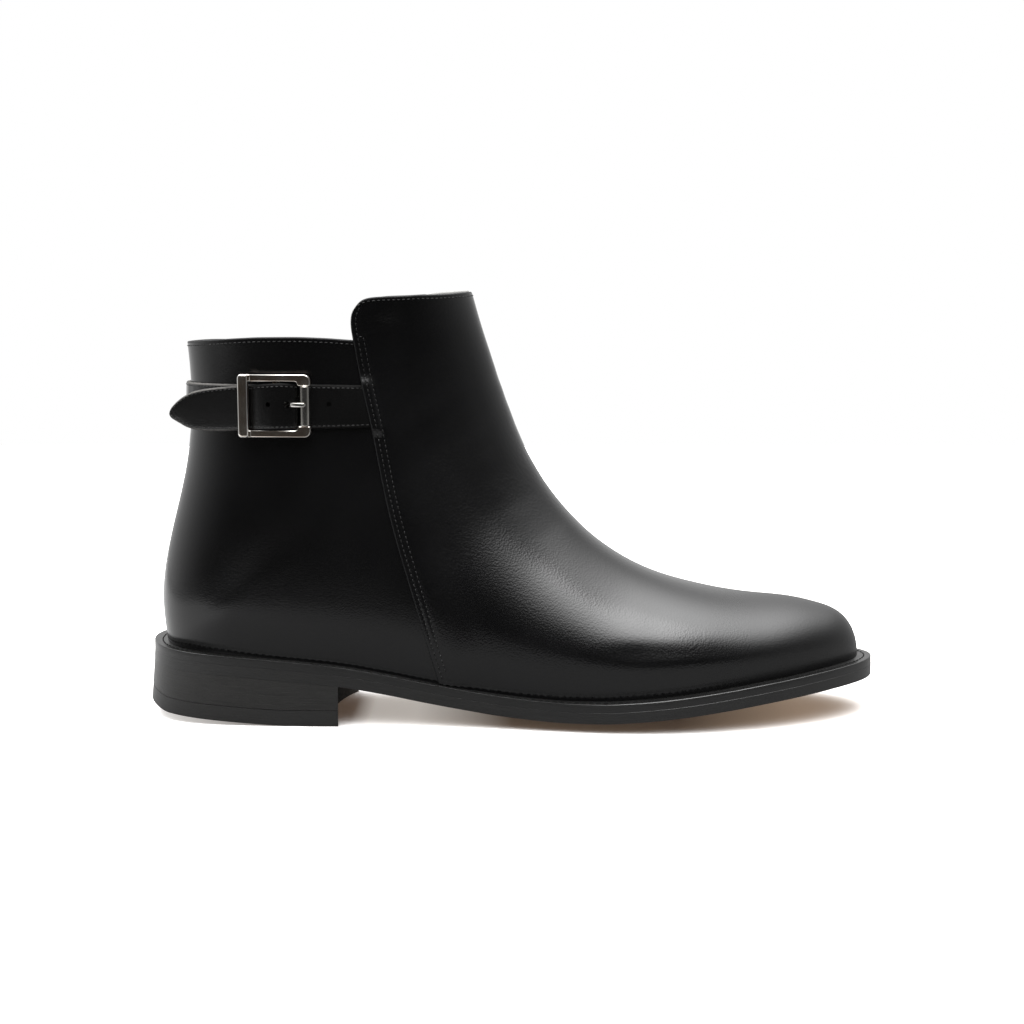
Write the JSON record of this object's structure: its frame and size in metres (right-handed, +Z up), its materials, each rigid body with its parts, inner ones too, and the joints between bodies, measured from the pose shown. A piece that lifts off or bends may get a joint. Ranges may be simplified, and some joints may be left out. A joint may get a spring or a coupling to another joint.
{
  "type": "buckle boot",
  "caption": "Plain leather ankle boot with a slanted side seam, a stepped collar, an ankle strap closed by a roller buckle, a welted sole and a low stacked heel.",
  "frame": {"origin": "on the floor under the middle of the outsole's box", "axes": "+X to the toe, +Z up, the outer side with the buckle at -Y"},
  "size_m": [0.3, 0.1007, 0.1725],
  "materials": {
    "upper_leather": "smooth black calf, low gloss",
    "strap_leather": "smooth black calf, low gloss",
    "footbed": "plain tan lining leather",
    "welt": "black waxed edge",
    "outsole": "black waxed edge, tan tread",
    "heel_stack": "dark stacked leather, satin",
    "top_piece": "matte black",
    "buckle": "polished nickel"
  },
  "bodies": {
    "root": {"upper": "upper_leather", "insole": "footbed", "welt": "welt", "outsole": "outsole", "heel": "heel_stack", "top_piece": "top_piece", "strap": "strap_leather", "buckle_strap": "strap_leather", "buckle_frame": "buckle", "buckle_roller": "buckle", "buckle_prong": "buckle"}
  },
  "joints": []
}
